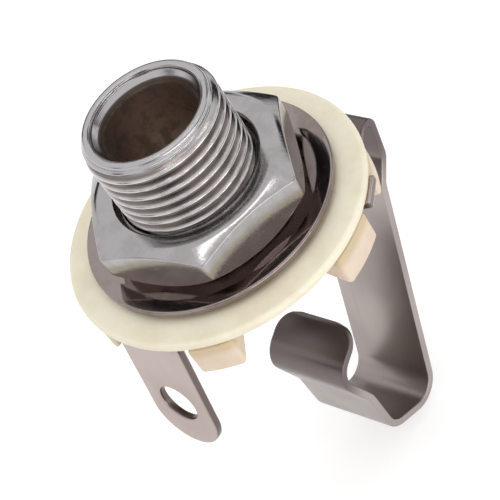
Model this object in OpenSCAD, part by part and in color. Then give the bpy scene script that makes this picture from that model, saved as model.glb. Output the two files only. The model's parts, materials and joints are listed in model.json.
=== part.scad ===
// Quarter-inch mono jack socket of the open kind, for a panel hole.
// A turned bush carries everything: a nut and a washer in front clamp the panel,
// and behind it a riveted stack of insulators holds the sleeve terminal and the tip spring.
// The axis of the plug is Z, pointing out of the mouth, and the panel lies on Z = 0.
// The tip spring stands on the +Y side, the sleeve terminal's solder lug on the -Y side.

/* [Bush] */
// Bore that takes the plug
plug_bore_d = 6.5; // [6.4:0.05:7.2]
// Outside of the thread, left plain here
thread_d = 9.44; // [9:0.02:11]
// Height of the threaded barrel in front of the panel seat
barrel_h = 9.7; // [7:0.1:14]
// Widening of the mouth over the bore, to each side
mouth_flare = 0.5; // [0.4:0.05:0.7]
// Depth of the flare from the mouth to the bore
mouth_depth = 0.9; // [0.4:0.05:1.6]
// Step in from the thread's outside to the rounded front lip
lip_in = 0.37; // [0.2:0.01:0.5]
// Height of the cone from the lip to the thread
lead_h = 0.45; // [0.2:0.05:0.8]
// Step in from the thread's outside to the tail that carries the stack
shoulder = 0.52; // [0.3:0.02:0.7]
// Reach of the spun-over rim past the tail
rim_lap = 0.6; // [0.4:0.05:0.8]
// Thickness of the spun-over rim
rim_t = 0.5; // [0.3:0.05:0.7]

/* [Nut and washer] */
// Nut across its flats
nut_af = 13.5; // [12:0.1:15]
// Height of the nut
nut_h = 3.5; // [2.4:0.1:4]
// Turn of the nut, from a corner on +X
nut_turn = 12; // [0:1:59]
// Slope of the chamfers at the nut's front
nut_chamfer = 30; // [15:1:40]
// Slope of the chamfers at the nut's base
nut_base_chamfer = 42; // [30:1:44]
// Width of the step from the nut's flats in to its round faces
nut_face_in = 0.4; // [0.1:0.05:0.6]
// Depth of the countersinks in the nut's bore
nut_sink = 0.4; // [0.1:0.05:0.6]
// Play of the nut on the thread, to each side
thread_clear = 0.05; // [0.02:0.01:0.1]
// Outside of the dished washer
washer_d = 17.5; // [14:0.1:20]
// Thickness of the dished washer
washer_t = 0.6; // [0.4:0.05:1]
// Width of the dished washer's raised rim
washer_rim_w = 1.2; // [0.8:0.1:1.6]
// Slope of that rim towards the nut
washer_slope = 14; // [5:1:20]
// Bevel of that rim's edges
washer_bevel = 0.15; // [0.05:0.01:0.19]
// Play of the washer on the thread, to each side
washer_clear = 0.2; // [0.1:0.02:0.4]

/* [Insulators] */
// Outside of the front disc
disc_d = 21.2; // [19:0.1:24]
// Thickness of the front disc
disc_t = 0.7; // [0.5:0.05:1.5]
// Rounding of the front disc's rim
disc_round = 0.25; // [0.1:0.05:0.3]
// Step in from the front disc's rim to the notched insulator's lobes
lobe_inset = 0.15; // [0:0.05:1]
// Height from the front disc to the back of the lobes
lobe_h = 2.6; // [1.5:0.1:3]
// Open seam between the front disc and the lobes
lobe_seam = 0.2; // [0.05:0.05:0.4]
// Width of the notched insulator's web outside the lobes' inner wall
web_lap = 0.45; // [0.2:0.05:0.8]
// Thickness of that web behind the sleeve terminal
web_t = 1.3; // [0.8:0.1:1.6]
// Height of the boss that sets the tip spring back
boss_h = 1.3; // [0.6:0.1:3]
// Step out from the tip spring's ring to the boss
boss_step = 0.1; // [0.05:0.05:0.6]
// Wall of the collar that keeps the tip spring off the bush
collar_wall = 0.6; // [0.4:0.05:0.9]
// Thickness of the rear insulator
rear_insulator_t = 0.7; // [0.5:0.05:1.5]
// Step out from the rear washer to the rear insulator
rear_insulator_step = 0.3; // [0.2:0.05:0.6]
// Rounding of the rear insulator's rim
rear_insulator_round = 0.18; // [0.1:0.02:0.24]
// Width of the rear washer from its hole to its rim
rear_washer_w = 0.87; // [0.8:0.01:1.5]
// Thickness of the rear washer
rear_washer_t = 0.3; // [0.25:0.05:0.6]
// Rounding of the rear washer's rim
rear_washer_round = 0.08; // [0.04:0.01:0.12]
// Play of the stack's rings on what they sit on, to each side
stack_clear = 0.03; // [0.02:0.01:0.08]
// Play of the front disc on the thread, to each side
disc_clear = 0.09; // [0.03:0.01:0.2]
// Play of the sleeve terminal's ring inside the lobes
recess_clear = 0.15; // [0.05:0.01:0.3]
// Play of a lug or an ear in its notch between the lobes, to each side
notch_clear = 0.37; // [0.1:0.01:0.5]
// Extra room beside the sleeve's lug in its notch, on the +X side
lug_notch_extra = 0.9; // [0:0.1:1.5]

/* [Terminals] */
// Thickness of the sheet that both terminals are folded from
sheet_t = 0.6; // [0.4:0.05:0.8]
// Outside of the sleeve terminal's ring
ring_d = 15.2; // [13:0.1:15.4]
// Width of a solder lug
lug_w = 5.4; // [4:0.1:6]
// Gap between the notched insulator's web and a lug
lug_clear = 0.6; // [0.3:0.05:1.2]
// Length of the sleeve's lug from its fold to its end
sleeve_lug_l = 10.5; // [7:0.1:14]
// Length of the tip's lug from its fold to its end
tip_lug_l = 8.6; // [7:0.1:12]
// Lean of a lug away from the axis
lug_splay = 10; // [0:1:20]
// Hole for the wire in a lug
lug_hole_d = 3; // [1.5:0.1:3.4]
// Distance from a lug's end to the middle of its hole
lug_hole_in = 3.8; // [2.7:0.1:5]
// Width of the ears that key the sleeve terminal to the notched insulator
ear_w = 2.3; // [1.5:0.1:2.6]
// Reach of an ear past the outside of the lobes
ear_out = 0.3; // [0:0.05:0.6]
// Angle from +X to an ear; the other ear mirrors it
ear_angle = 25.5; // [16:0.5:42]

/* [Tip spring] */
// Width of the tip spring's ring from its hole to its rim
tip_ring_w = 1.34; // [1.1:0.02:2]
// Length of the flat tab outside that ring, up to its shallow bend
tab_lead = 0.8; // [0.4:0.1:1.6]
// Drop of the tab from its bend to the fold at the spring's root
tab_drop = 0.2; // [0.1:0.1:1.4]
// Width of the tab past the spring strip, to each side
tab_flare = 0.8; // [0.3:0.05:1.4]
// Length over which the tab narrows to the spring strip
tab_flare_l = 1.75; // [0.8:0.05:2.5]
// Width of the spring strip
spring_w = 6.8; // [4:0.1:7.4]
// Distance from the axis to the fold at the spring's root
root_reach = 12.25; // [11.5:0.05:14]
// Step of the knee under the root, towards the axis
knee_in = 1.8; // [1:0.1:3]
// Share of that step that the strip takes before the knee's bend
knee_share = 0.3; // [0.2:0.05:0.6]
// Depth of the knee's upper bend behind the root
knee_top_depth = 3.35; // [2.8:0.05:3.8]
// Depth of the knee's lower bend behind the root
knee_low_depth = 5.05; // [4.6:0.05:6]
// Depth of the hook's outer corner behind the root
hook_depth = 23.8; // [20:0.1:27]
// Distance from the axis to the hook's outer corner
hook_out = 4.75; // [4:0.05:6.5]
// Width across the hook, from its outer corner to its heel
hook_w = 4.7; // [3:0.05:5]
// Rise from the hook's outer corner to its heel
heel_rise = 2.45; // [1.5:0.05:3.5]
// Lean of the leg from the heel to its bend, towards the axis
leg_lean = 0.2; // [0:0.05:0.6]
// Depth of the contact hump behind the root
hump_depth = 12.6; // [9:0.1:14]
// Offset of the hump's fold past the axis
hump_past = 1.6; // [-1:0.05:1.8]
// Length of the lead-in from the hump's fold to the free end
lead_in_l = 4; // [3:0.05:4.5]
// Slope of the lead-in towards the mouth
lead_in_slope = 22; // [10:1:45]
// Rounding of the free end's corners
free_end_round = 1.8; // [0.4:0.1:2.4]
// Bend radius of a fold in the sheet, at its middle line
fold_r = 0.6; // [0.5:0.05:0.8]
// Bend radius of the knee's two bends
knee_r = 1; // [0.6:0.1:1.5]
// Bend radius of the hook's outer corner
hook_r = 1.8; // [1:0.1:2]
// Bend radius of the hook's heel
heel_r = 1.9; // [0.6:0.1:2.2]
// Bend radius of the bend half-way up the leg
leg_r = 2.4; // [0.8:0.1:3]
// Bend radius of the contact hump
hump_r = 1.6; // [1:0.1:1.9]

/* [Hidden] */
$fn = 96;

nickel = "silver";
bright = "gainsboro";
spring_nickel = "rosybrown";
nylon = "cornsilk";
moulding = "antiquewhite";
// Overlap that makes a cut run clear of a face
cut = 1;
// Largest turn between two points of a bend
bend_step = 7.5;

// Levels of the stack, from the panel seat back along the bush
disc_back = -disc_t;
sleeve_mid = disc_back - sheet_t / 2;
sleeve_back = disc_back - sheet_t;
lobe_front = disc_back - lobe_seam;
lobe_back = disc_back - lobe_h;
web_back = sleeve_back - web_t;
tip_front = web_back - boss_h;
tip_mid = tip_front - sheet_t / 2;
tip_back = tip_front - sheet_t;
rear_insulator_back = tip_back - rear_insulator_t;
rear_washer_back = rear_insulator_back - rear_washer_t;
rim_back = rear_washer_back - rim_t;

bore_r = plug_bore_d / 2;
thread_r = thread_d / 2;
tail_r = thread_r - shoulder;
rim_r = tail_r + rim_lap;
seat_r = tail_r + stack_clear;
collar_r = seat_r + collar_wall;
ring_r = ring_d / 2;
tip_hole_r = collar_r + stack_clear;
tip_ring_r = tip_hole_r + tip_ring_w;
boss_r = tip_ring_r + boss_step;
rear_washer_r = seat_r + rear_washer_w;
rear_insulator_r = rear_washer_r + rear_insulator_step;
lobe_r = disc_d / 2 - lobe_inset;
// Front lip: a round bead between the mouth and the lead cone
lip_r = thread_r - lip_in;
mouth_r = bore_r + mouth_flare;
lip_round = (lip_r - mouth_r) / 2;
lip_mid = (lip_r + mouth_r) / 2;
lip_z = barrel_h - lip_round;

// Lobes of the notched insulator on the +X side, as first and last angle; -X mirrors them
lobes = [[-5, 76], [-90, -50]];
ear_angles = [ear_angle, 180 - ear_angle];
lug_angle = -90;
ear_reach = lobe_r + ear_out;
// Inner wall of the lobes, outside the sleeve terminal's ring
lobe_in_r = ring_r + recess_clear;
web_r = lobe_in_r + web_lap;
// Distance from the axis to a lug's fold
lug_reach = web_r + lug_clear + sheet_t / 2;

// Middle line of the tip spring in the YZ plane, from the axis out to its free end
tab_bend = [tip_ring_r + tab_lead, tip_mid];
root_fold = [root_reach, tip_mid - tab_drop];
knee_top = root_fold - [knee_share * knee_in, knee_top_depth];
knee_low = root_fold - [knee_in, knee_low_depth];
hook_corner = [hook_out, root_fold.y - hook_depth];
heel = hook_corner + [-hook_w, heel_rise];
hump_fold = [-hump_past, root_fold.y - hump_depth];
// The leg rises from the heel, then leans over to the hump
leg_bend = [heel.x - leg_lean, (heel.y + hump_fold.y) / 2];
free_end = hump_fold + lead_in_l * [cos(lead_in_slope), sin(lead_in_slope)];
spring_path = [[0, tip_mid], tab_bend, root_fold, knee_top, knee_low, hook_corner, heel,
    leg_bend, hump_fold, free_end];
// Bend radius of the middle line at each of the path's inner points
spring_bends = [fold_r, fold_r, knee_r, knee_r, hook_r, heel_r, leg_r, hump_r];

// Turns a drawing in the XY plane, with its thickness along Z, into the YZ plane
module in_yz_plane() {
    rotate([90, 0, 90]) children();
}

// Flat ring from z_low to z_high, with its outer edges rounded
module round_ring(r_in, r_out, z_low, z_high, edge) {
    rotate_extrude() {
        translate([r_in, z_low]) square([r_out - edge - r_in, z_high - z_low]);
        translate([r_in, z_low + edge]) square([r_out - r_in, z_high - z_low - 2 * edge]);
        for (z = [z_low + edge, z_high - edge]) translate([r_out - edge, z]) circle(edge);
    }
}

// Flat ring with square edges
module plain_ring(r_in, r_out, z_low, z_high) {
    difference() {
        translate([0, 0, z_low]) cylinder(r = r_out, h = z_high - z_low);
        translate([0, 0, z_low - cut]) cylinder(r = r_in, h = z_high - z_low + 2 * cut);
    }
}

// Sector of a ring between two angles
module ring_sector(r_in, r_out, z_low, z_high, first, last) {
    far = 2 * r_out;
    middle = (first + last) / 2;
    translate([0, 0, z_low]) linear_extrude(z_high - z_low) intersection() {
        difference() {
            circle(r_out);
            circle(r_in);
        }
        polygon([[0, 0], for (a = [first, middle, last]) far * [cos(a), sin(a)]]);
    }
}

function turn_angle(v) = atan2(v.y, v.x);
function unit(v) = v / norm(v);
function left_of(v) = [-v.y, v.x];
function reversed(list) = [for (i = [len(list) - 1:-1:0]) list[i]];
// Direction of the run that ends at point i of a path
function run_along(path, i) = unit(path[i] - path[i - 1]);
// Signed turn at corner i of a path, from -180 to 180
function path_turn(path, i) = let (
    before = run_along(path, i),
    after = run_along(path, i + 1)
) atan2(before.x * after.y - before.y * after.x, before * after);
// Length that a bend of middle radius r takes from each side of corner i
function bend_setback(path, r, i) = r * tan(abs(path_turn(path, i)) / 2);

// Arc at corner i of a path, moved to the left of the middle line by off
function bend_arc(path, r, i, off) = let (
    turn = path_turn(path, i),
    along = run_along(path, i),
    start = path[i] - along * bend_setback(path, r, i),
    centre = start + sign(turn) * r * left_of(along),
    from = turn_angle(start - centre),
    steps = ceil(abs(turn) / bend_step)
) [for (k = [0:steps]) let (a = from + turn * k / steps)
    centre + (r - sign(turn) * off) * [cos(a), sin(a)]];

// One side of a folded sheet: the path moved to its left by off, with its corners bent
function strip_side(path, bends, off) = let (last = len(path) - 1) [
    path[0] + off * left_of(run_along(path, 1)),
    for (i = [1:last - 1]) each bend_arc(path, bends[i - 1], i, off),
    path[last] + off * left_of(run_along(path, last))
];

// Strip of sheet folded along a path in the XY plane, width along Z
module folded_strip(path, bends, w) {
    linear_extrude(w, center = true) polygon(concat(
        strip_side(path, bends, sheet_t / 2),
        reversed(strip_side(path, bends, -sheet_t / 2))
    ));
}

// What to take off the far end of such a strip to round its corners
module end_corners(path, w, end_round) {
    last = len(path) - 1;
    tip = path[last];
    translate([tip.x, tip.y, 0]) rotate(turn_angle(run_along(path, last))) rotate([90, 0, 0])
        linear_extrude(2 * sheet_t, center = true) for (side = [0, 1]) mirror([0, side])
            translate([-end_round, w / 2 - end_round]) difference() {
                square(end_round + cut);
                circle(end_round);
            }
}

// Solder lug on the -Y side of a ring at level z: out, folded back, round-ended and pierced
module solder_lug(ring, z, l) {
    fold = [-lug_reach, z];
    back = [-sin(lug_splay), -cos(lug_splay)];
    path = [[cut - ring, z], fold, fold + back * l];
    hole = fold + back * (l - lug_hole_in);
    difference() {
        in_yz_plane() difference() {
            folded_strip(path, [fold_r], lug_w);
            end_corners(path, lug_w, lug_w / 2);
        }
        translate([0, hole.x, hole.y]) rotate([90 - lug_splay, 0, 0])
            cylinder(d = lug_hole_d, h = sheet_t + 2 * cut, center = true);
    }
}

// Turned bush: lip, flared mouth, barrel, shoulder behind the front disc, tail and spun rim
module threaded_bush() {
    color(nickel) rotate_extrude() {
        polygon([
            [bore_r, rim_back],
            [tail_r, rim_back],
            [tail_r, disc_back],
            [thread_r, disc_back],
            [thread_r, lip_z - lead_h],
            [lip_r, lip_z],
            [mouth_r, lip_z],
            [bore_r, barrel_h - mouth_depth]
        ]);
        translate([lip_mid, lip_z]) circle(lip_round);
        translate([bore_r, rim_back]) square([rim_r - rim_t / 2 - bore_r, rim_t]);
        translate([rim_r - rim_t / 2, rim_back + rim_t / 2]) circle(rim_t / 2);
    }
}

// Hexagon nut, chamfered at both ends, with countersunk bore
module hex_nut() {
    corner_r = nut_af / 2 / cos(30);
    face_r = nut_af / 2 - nut_face_in;
    hole_r = thread_r + thread_clear;
    sink_h = nut_sink + cut;
    reach = corner_r + cut / 5;
    front_drop = (reach - face_r) * tan(nut_chamfer);
    base_rise = (reach - face_r) * tan(nut_base_chamfer);
    color(nickel) translate([0, 0, washer_t]) difference() {
        intersection() {
            rotate(nut_turn) cylinder(r = corner_r, h = nut_h, $fn = 6);
            rotate_extrude() polygon([
                [0, 0],
                [face_r, 0],
                [reach, base_rise],
                [reach, nut_h - front_drop],
                [face_r, nut_h],
                [0, nut_h]
            ]);
        }
        translate([0, 0, -cut]) cylinder(r = hole_r, h = nut_h + 2 * cut);
        translate([0, 0, nut_h - nut_sink]) cylinder(r1 = hole_r, r2 = hole_r + sink_h, h = sink_h);
        translate([0, 0, -cut]) cylinder(r1 = hole_r + sink_h, r2 = hole_r, h = sink_h);
    }
}

// Washer between the nut and the panel: a flat middle, and a rim that rises towards the nut
module dished_washer() {
    hole_r = thread_r + washer_clear;
    rim_r = washer_d / 2;
    flat_r = rim_r - washer_rim_w;
    rise = washer_rim_w * tan(washer_slope);
    bevel_rise = (washer_rim_w - washer_bevel) * tan(washer_slope);
    color(bright) rotate_extrude() polygon([
        [hole_r, 0],
        [flat_r, 0],
        [rim_r - washer_bevel, bevel_rise],
        [rim_r, rise + washer_bevel],
        [rim_r, rise + washer_t - washer_bevel],
        [rim_r - washer_bevel, bevel_rise + washer_t],
        [flat_r, washer_t],
        [hole_r, washer_t]
    ]);
}

// Insulating disc that the panel rests on
module front_insulator() {
    color(nylon) round_ring(thread_r + disc_clear, disc_d / 2, disc_back, 0, disc_round);
}

// Notch with parallel sides through the lobes, for a lug or an ear of width w at an angle,
// with extra room on one side
module lobe_notch(w, angle, extra = 0) {
    rotate(angle) translate([0, -w / 2 - notch_clear, lobe_back - cut])
        cube([lobe_r + cut, w + 2 * notch_clear + extra, lobe_h + 2 * cut]);
}

// Moulded insulator: lobes round the rim, a recess for the sleeve terminal, a boss and a collar
module notched_insulator() {
    color(moulding) {
        plain_ring(seat_r, web_r, web_back, sleeve_back);
        difference() {
            for (x = [0, 1]) mirror([x, 0, 0]) for (lobe = lobes)
                ring_sector(lobe_in_r, lobe_r, lobe_back, lobe_front, lobe[0], lobe[1]);
            for (a = ear_angles) lobe_notch(ear_w, a);
            lobe_notch(lug_w, lug_angle, lug_notch_extra);
        }
        plain_ring(seat_r, boss_r, tip_front, web_back);
        plain_ring(seat_r, collar_r, tip_back, tip_front);
    }
}

// Sleeve terminal: a ring against the bush's shoulder, two ears and a solder lug
module sleeve_terminal() {
    color(spring_nickel) {
        difference() {
            union() {
                translate([0, 0, sleeve_back]) cylinder(r = ring_r, h = sheet_t);
                for (a = ear_angles) rotate(a) translate([0, -ear_w / 2, sleeve_back])
                    cube([ear_reach, ear_w, sheet_t]);
            }
            translate([0, 0, sleeve_back - cut]) cylinder(r = seat_r, h = sheet_t + 2 * cut);
        }
        solder_lug(ring_r, sleeve_mid, sleeve_lug_l);
    }
}

// Room for the tip spring's strip, widened where the tab leaves its ring
module leaf_outline() {
    half_w = spring_w / 2;
    tab_end = root_fold.x - bend_setback(spring_path, fold_r, 2) - sheet_t / 2;
    tab_low = root_fold.y - sheet_t;
    leaf_low = hook_corner.y - sheet_t;
    leaf_end = root_fold.x + sheet_t;
    translate([-half_w, -leaf_end, leaf_low])
        cube([spring_w, 2 * leaf_end, tip_front + cut - leaf_low]);
    translate([0, 0, tab_low]) linear_extrude(tip_front + cut - tab_low) polygon([
        [-half_w - tab_flare, 0],
        [half_w + tab_flare, 0],
        [half_w + tab_flare, tab_end - tab_flare_l],
        [half_w, tab_end],
        [-half_w, tab_end],
        [-half_w - tab_flare, tab_end - tab_flare_l]
    ]);
}

// Tip spring: a ring round the collar, a long arm with a hooked contact, and a solder lug on -X
module tip_spring() {
    color(spring_nickel) difference() {
        union() {
            translate([0, 0, tip_back]) cylinder(r = tip_ring_r, h = sheet_t);
            intersection() {
                in_yz_plane() difference() {
                    folded_strip(spring_path, spring_bends, spring_w + 2 * tab_flare);
                    end_corners(spring_path, spring_w, free_end_round);
                }
                leaf_outline();
            }
            rotate(-90) solder_lug(tip_ring_r, tip_mid, tip_lug_l);
        }
        translate([0, 0, tip_back - cut]) cylinder(r = tip_hole_r, h = sheet_t + 2 * cut);
    }
}

// Insulating ring behind the tip spring
module rear_insulator() {
    color(moulding)
        round_ring(seat_r, rear_insulator_r, rear_insulator_back, tip_back, rear_insulator_round);
}

// Metal washer that the bush's tail is spun over
module rear_washer() {
    color(nickel)
        round_ring(seat_r, rear_washer_r, rear_washer_back, rear_insulator_back, rear_washer_round);
}

threaded_bush();
hex_nut();
dished_washer();
front_insulator();
notched_insulator();
sleeve_terminal();
tip_spring();
rear_insulator();
rear_washer();
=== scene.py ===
# %% [markdown]
# # A quarter-inch mono jack socket
# The part is an open panel socket. A threaded bush carries a nut and a washer in front of the panel.
# Behind the panel a riveted stack of insulators holds a solder terminal and a sprung tip contact.
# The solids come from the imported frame. Outer sizes and levels are read from it. What a box can't
# tell, such as a wall or a bend, is repeated here as a named size.
# The first thing to do is to load that frame and to keep the box of the bare solids for later.

# %% Load the frame
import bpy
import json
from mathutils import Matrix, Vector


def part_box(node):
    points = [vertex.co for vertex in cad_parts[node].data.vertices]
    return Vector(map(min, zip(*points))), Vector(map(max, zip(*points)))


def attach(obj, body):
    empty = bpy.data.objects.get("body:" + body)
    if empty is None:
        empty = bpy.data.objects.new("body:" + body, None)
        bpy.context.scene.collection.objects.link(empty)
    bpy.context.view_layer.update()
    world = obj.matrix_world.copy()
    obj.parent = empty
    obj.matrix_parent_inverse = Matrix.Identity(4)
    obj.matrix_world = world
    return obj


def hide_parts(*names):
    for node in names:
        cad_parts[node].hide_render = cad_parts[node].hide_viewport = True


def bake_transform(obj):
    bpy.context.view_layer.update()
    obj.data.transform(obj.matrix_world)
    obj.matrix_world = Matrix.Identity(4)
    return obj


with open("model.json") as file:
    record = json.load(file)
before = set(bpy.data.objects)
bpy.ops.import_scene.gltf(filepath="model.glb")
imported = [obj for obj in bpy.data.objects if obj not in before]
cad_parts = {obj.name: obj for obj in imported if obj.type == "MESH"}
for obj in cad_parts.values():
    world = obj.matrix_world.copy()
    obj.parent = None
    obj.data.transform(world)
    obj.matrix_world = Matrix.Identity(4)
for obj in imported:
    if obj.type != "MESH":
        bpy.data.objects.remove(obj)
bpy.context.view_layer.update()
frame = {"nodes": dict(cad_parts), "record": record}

import json
import bmesh
import bpy
import numpy as np
from mathutils import Matrix, Vector

print("nodes:", sorted(frame["nodes"]))

# %% [markdown]
# ## Working in millimetres
# Blender measures in metres, but a socket is easier to think about in millimetres.
# All shapes below are worked out in millimetres and scaled once, when they enter a mesh.
# A node's box gives the outer size and the levels of each round piece.

# %% Sizes from the frame
MM = 0.001


def round_size(node):
    """Outer radius, lowest level and highest level of a round CAD node at rest, in millimetres."""
    low, high = (np.array(corner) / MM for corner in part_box(node))
    return (high[0] - low[0]) / 2, low[2], high[2]


mounts = {mount["name"]: mount for mount in frame["record"]["mounts"]}
bore_r = mounts["plug_bore"]["dims"]["r_mm"]
lug_hole_r = mounts["sleeve_lug_hole"]["dims"]["r_mm"]
disc_r, disc_back, disc_front = round_size("front_insulator")
print("bore radius", bore_r, "disc radius", round(disc_r, 2), "disc from", disc_back, "to", disc_front)

# %% [markdown]
# ## From a grid of points to a mesh
# Every surface here is a grid: rows of points, each row a closed ring.
# A turned ring is closed along its rows as well, so it is a doughnut of quads with no open edge.
# A strip isn't: its first and last rows shrink to a line, and merging their points closes the ends.
# The whole grid is one numpy array, which is quicker and clearer than a loop over vertices.

# %% Grid helpers
MERGE = 0.0008  # millimetres between points that count as one


def grid_faces(rows, columns, closed_rows, first):
    """Quads of a grid: each joins a point to the next one along its row and to the row after."""
    down = np.arange(rows if closed_rows else rows - 1)
    across = np.arange(columns)
    i, j = np.meshgrid(down, across, indexing="ij")
    i_next, j_next = (i + 1) % rows, (j + 1) % columns
    quads = np.stack([i * columns + j, i_next * columns + j,
                      i_next * columns + j_next, i * columns + j_next], axis=-1)
    return first + quads.reshape(-1, 4)


def close_seams(mesh):
    """Merges the points of collapsed ends, drops faces of no area and turns all faces outwards."""
    work = bmesh.new()
    work.from_mesh(mesh)
    bmesh.ops.remove_doubles(work, verts=work.verts, dist=MERGE * MM)
    bmesh.ops.dissolve_degenerate(work, dist=MERGE * MM / 4, edges=work.edges)
    bmesh.ops.recalc_face_normals(work, faces=work.faces)
    work.to_mesh(mesh)
    work.free()


def new_piece(name, grids, material, node):
    """One smooth mesh from grids given as (points, closed along the rows, places along the sheet).

    It gets its finish, and the CAD node that it stands for is hidden.
    """
    points, faces, places, count = [], [], [], 0
    for grid, closed_rows, place in grids:
        rows, columns = grid.shape[:2]
        faces.append(grid_faces(rows, columns, closed_rows, count))
        points.append(grid.reshape(-1, 3))
        places.append((np.zeros(grid.shape) if place is None else place).reshape(-1, 3))
        count += rows * columns
    mesh = bpy.data.meshes.new(name)
    mesh.from_pydata((np.concatenate(points) * MM).tolist(), [], np.concatenate(faces).tolist())
    along = mesh.attributes.new("along_sheet", "FLOAT_VECTOR", "POINT")
    along.data.foreach_set("vector", np.concatenate(places).astype(np.float32).ravel())
    close_seams(mesh)
    mesh.polygons.foreach_set("use_smooth", np.ones(len(mesh.polygons), bool))
    mesh.materials.append(material)
    piece = bpy.data.objects.new(name, mesh)
    bpy.context.scene.collection.objects.link(piece)
    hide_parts(node)
    print(name, len(mesh.polygons), "faces")
    return piece


print("points closer than", MERGE, "mm are merged")

# %% [markdown]
# ## Profiles with softened corners
# No real edge is perfectly sharp. A plated edge shows as a thin bright line because it is round.
# A Bevel modifier could do that, but here each corner of a profile is simply replaced by a short
# parabola, so the rounding is part of the formula and each corner can have its own size.

# %% Softened profiles
CORNER_STEPS = 6  # points on a softened corner
ROUND_STEPS = 192  # points round the axis
AROUND = np.linspace(0, 2 * np.pi, ROUND_STEPS, endpoint=False)
TINY = 1e-9  # keeps a division away from zero


def unit(v):
    """Vectors along the last axis, scaled to length 1."""
    return v / np.maximum(np.linalg.norm(v, axis=-1, keepdims=True), TINY)


def softened(corners):
    """Closed profile through corners of (radius, level, setback), each replaced by a parabola.

    From A, a setback before the corner C, to B, a setback after it, the curve is
    (1 - t)^2 A + 2 t (1 - t) C + t^2 B for t from 0 to 1.
    """
    corners = np.asarray(corners, float)
    sharp, setback = corners[..., :2], corners[..., 2:]
    before = sharp + setback * unit(np.roll(sharp, 1, axis=0) - sharp)
    after = sharp + setback * unit(np.roll(sharp, -1, axis=0) - sharp)
    t = np.linspace(0, 1, CORNER_STEPS).reshape((1, -1) + (1,) * (sharp.ndim - 1))
    curve = (1 - t) ** 2 * before[:, None] + 2 * t * (1 - t) * sharp[:, None] + t ** 2 * after[:, None]
    return curve.reshape((-1,) + sharp.shape[1:])


def rectangle(r_in, r_out, low, high, outer_edge, inner_edge):
    """Profile of a flat ring, with one setback for its outer edges and one for its inner edges."""
    return softened([[r_in, low, inner_edge], [r_out, low, outer_edge],
                     [r_out, high, outer_edge], [r_in, high, inner_edge]])


def turned(profile, angles=AROUND):
    """Carries (radius, level) round the axis: x = r cos a, y = r sin a, z = level."""
    if profile.ndim == 2:
        profile = np.repeat(profile[:, None], len(angles), axis=1)
    r, z = profile[..., 0], profile[..., 1]
    return np.stack([r * np.cos(angles), r * np.sin(angles), z], axis=-1)


print("profile of a ring has", 4 * CORNER_STEPS, "points, and", ROUND_STEPS, "steps round the axis")

# %% [markdown]
# ## Shader nodes in code
# A finish is a tree of nodes. Clicking it together is quick once, but code can repeat it with other
# numbers. These helpers add a node and fill its sockets, each with a value or another node's output.

# %% Node helpers
def feed(tree, node, socket, value):
    """Links an output to a socket, given by name or number, or sets the socket's own value."""
    target = node.inputs[socket]
    if isinstance(value, bpy.types.NodeSocket):
        tree.links.new(value, target)
    else:
        target.default_value = value


def feed_all(tree, node, inputs):
    """Feeds several sockets by name, with _ for a space."""
    for name, value in inputs.items():
        feed(tree, node, name.replace("_", " "), value)


def add_node(tree, kind, **inputs):
    """A shader node with some of its inputs fed."""
    made = tree.nodes.new("ShaderNode" + kind)
    feed_all(tree, made, inputs)
    return made


def math_node(tree, operation, a, b=0.0, clamp=False):
    """Output of a Math node."""
    made = add_node(tree, "Math")
    made.operation = operation
    made.use_clamp = clamp
    feed(tree, made, 0, a)
    feed(tree, made, 1, b)
    return made.outputs[0]


def vector_node(tree, operation, a, b=(0, 0, 0)):
    """Outputs of a Vector Math node."""
    made = add_node(tree, "VectorMath")
    made.operation = operation
    feed(tree, made, 0, a)
    feed(tree, made, 1, b)
    return made.outputs


def remap(tree, value, low, high, to_low=0.0, to_high=1.0):
    """Output of a smooth Map Range node that turns low..high into to_low..to_high."""
    made = add_node(tree, "MapRange", Value=value, From_Min=low, From_Max=high,
                    To_Min=to_low, To_Max=to_high)
    made.interpolation_type = "SMOOTHSTEP"
    return made.outputs["Result"]


def mixed(tree, mask, first, second):
    """Colour that goes from first to second as mask goes from 0 to 1."""
    made = add_node(tree, "Mix")
    made.data_type = "RGBA"
    for socket, value in ((0, mask), (6, first), (7, second)):  # 6 and 7 are a Mix node's two colours
        feed(tree, made, socket, value)
    return made.outputs[2]


def level_of(tree, place):
    """Height of a place along the socket's axis."""
    return add_node(tree, "SeparateXYZ", Vector=place).outputs["Z"]


# %% [markdown]
# ## Shared effects for the finishes
# Plated metal is never one even grey. It has cloudy stains, hair-fine marks from handling and,
# on turned pieces, rings left by the tool. Each of these is a node group with named sockets, built
# once and placed in every finish that shows it, with its own scale and strength.
# The groups put out only masks, heights and a distance. The shader stays in each material.

# %% Shared groups
STAIN_TOP = 0.78  # level of the noise at which next to nothing is stained
STAIN_SPAN = 0.56  # how far that level falls as Cover goes from 0 to 1
STAIN_BORDER = 0.09  # how far a stain's soft border reaches to each side of that level
HAIR_BAND = (0.52, 0.72)  # levels of the noise over which a hair mark shows up


def new_group(name, numbers, outputs):
    """An empty shader node group that takes a Place and numbers with defaults, and puts out numbers."""
    tree = bpy.data.node_groups.new(name, "ShaderNodeTree")
    tree.interface.new_socket("Place", in_out="INPUT", socket_type="NodeSocketVector")
    for socket, default in numbers.items():
        made = tree.interface.new_socket(socket, in_out="INPUT", socket_type="NodeSocketFloat")
        made.default_value = default
    for socket in outputs:
        tree.interface.new_socket(socket, in_out="OUTPUT", socket_type="NodeSocketFloat")
    return tree, tree.nodes.new("NodeGroupInput").outputs, tree.nodes.new("NodeGroupOutput").inputs


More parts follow.
